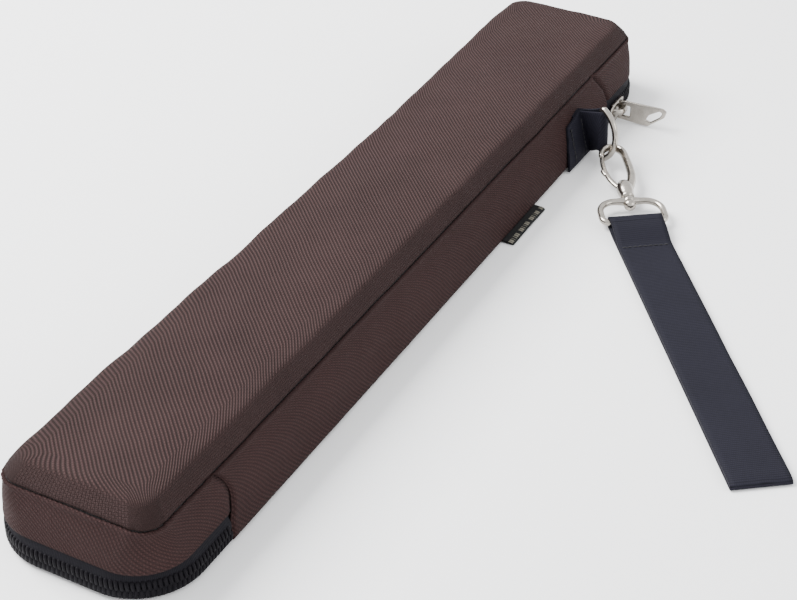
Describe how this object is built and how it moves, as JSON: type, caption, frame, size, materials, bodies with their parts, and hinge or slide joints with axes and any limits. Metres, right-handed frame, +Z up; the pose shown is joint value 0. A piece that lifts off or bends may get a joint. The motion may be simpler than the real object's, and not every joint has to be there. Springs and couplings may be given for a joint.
{
  "type": "zip-round carrying case",
  "caption": "Long slim zip-round case of padded woven fabric with a hinged lid, for a folded music stand, with a webbing wrist strap on a swivel snap hook.",
  "frame": {"origin": "centre of the case's underside, on the surface that it lies on", "axes": "+Z up, +Y along the case towards the zip slider and the ring, +X towards the side that the lid hinges on"},
  "size_m": [0.2573, 0.4596, 0.04],
  "materials": {
    "outer_fabric": "woven polyester, basket weave, matt",
    "lining_fabric": "plain woven lining, matt",
    "binding_tape": "woven binding tape, matt",
    "zip_tape": "herringbone zip tape, matt",
    "zip_coil": "polyester monofilament coil, satin",
    "foam": "closed-cell foam",
    "board": "plain polypropylene board",
    "webbing": "ribbed polyester webbing, matt",
    "thread": "bonded polyester thread",
    "label": "plain woven tag",
    "nickel": "nickel plated, lightly brushed",
    "spring_steel": "spring steel wire"
  },
  "bodies": {
    "base": {"base_cover": "outer_fabric", "lower_zip_tape": "zip_tape", "base_board": "board", "base_foam": "foam", "base_lining": "lining_fabric", "base_binding": "binding_tape", "lower_zip_coil": "zip_coil", "side_label": "label"},
    "shell": {"top_panel": "outer_fabric", "top_foam": "foam", "top_board": "board", "top_lining": "lining_fabric", "zip_gusset": "outer_fabric", "hinge_panel": "outer_fabric", "side_foam": "foam", "end_foam": "foam", "wall_lining": "lining_fabric", "lining_seam_tape": "binding_tape", "mouth_binding": "binding_tape", "upper_zip_tape": "zip_tape", "upper_zip_coil": "zip_coil", "zip_end_tape": "zip_tape", "zip_end_coil": "zip_coil", "ring_tab": "webbing", "ring_tab_stitching": "thread"},
    "slider": {"slider_body": "nickel", "slider_crown": "nickel"},
    "pull": {"pull_tab": "nickel"},
    "ring": {"d_ring": "nickel"},
    "hook": {"hook_body": "nickel", "gate_pin": "spring_steel", "gate_spring": "spring_steel"},
    "gate": {"hook_gate": "nickel"},
    "loop": {"strap_loop": "nickel"},
    "strap": {"wrist_strap": "webbing", "strap_stitching": "thread"}
  },
  "joints": [
    {"name": "lid_hinge", "type": "hinge", "parent": "base", "child": "shell", "pos_m": [0.042, 0, 0.0008], "axis": [0, 1, 0], "range_deg": [0, 90]},
    {"name": "slider_travel", "type": "slide", "parent": "shell", "child": "slider", "axis": [0, 1, 0], "range_m": [0, 0.008]},
    {"name": "pull_swing", "type": "hinge", "parent": "slider", "child": "pull", "pos_m": [0.0456, 0.186, 0.0064], "axis": [0, 0, 1], "range_deg": [-80, 80]},
    {"name": "ring_swing", "type": "hinge", "parent": "shell", "child": "ring", "pos_m": [0.0525, 0.1427, 0.0152], "axis": [-0.1197, 0.1328, 0.9839], "range_deg": [-15, 75]},
    {"name": "hook_swing", "type": "hinge", "parent": "ring", "child": "hook", "pos_m": [0.05817, 0.14216, 0.00913], "axis": [-0.8329, -0.5534, 0], "range_deg": [-30, 40]},
    {"name": "gate_pivot", "type": "hinge", "parent": "hook", "child": "gate", "pos_m": [0.07472, 0.11345, 0.00623], "axis": [-0.0482, 0.0726, -0.9962], "range_deg": [0, 15], "stiffness_Nm_per_rad": 0.03, "springref_deg": -20.05},
    {"name": "hook_swivel", "type": "hinge", "parent": "hook", "child": "loop", "pos_m": [0.08143, 0.10714, 0.00545], "axis": [0.5513, -0.8298, -0.0872], "continuous": true},
    {"name": "strap_swing", "type": "hinge", "parent": "loop", "child": "strap", "pos_m": [0.09185, 0.09146, 0.0038], "axis": [-0.8329, -0.5534, 0], "range_deg": [-120, 140]}
  ]
}
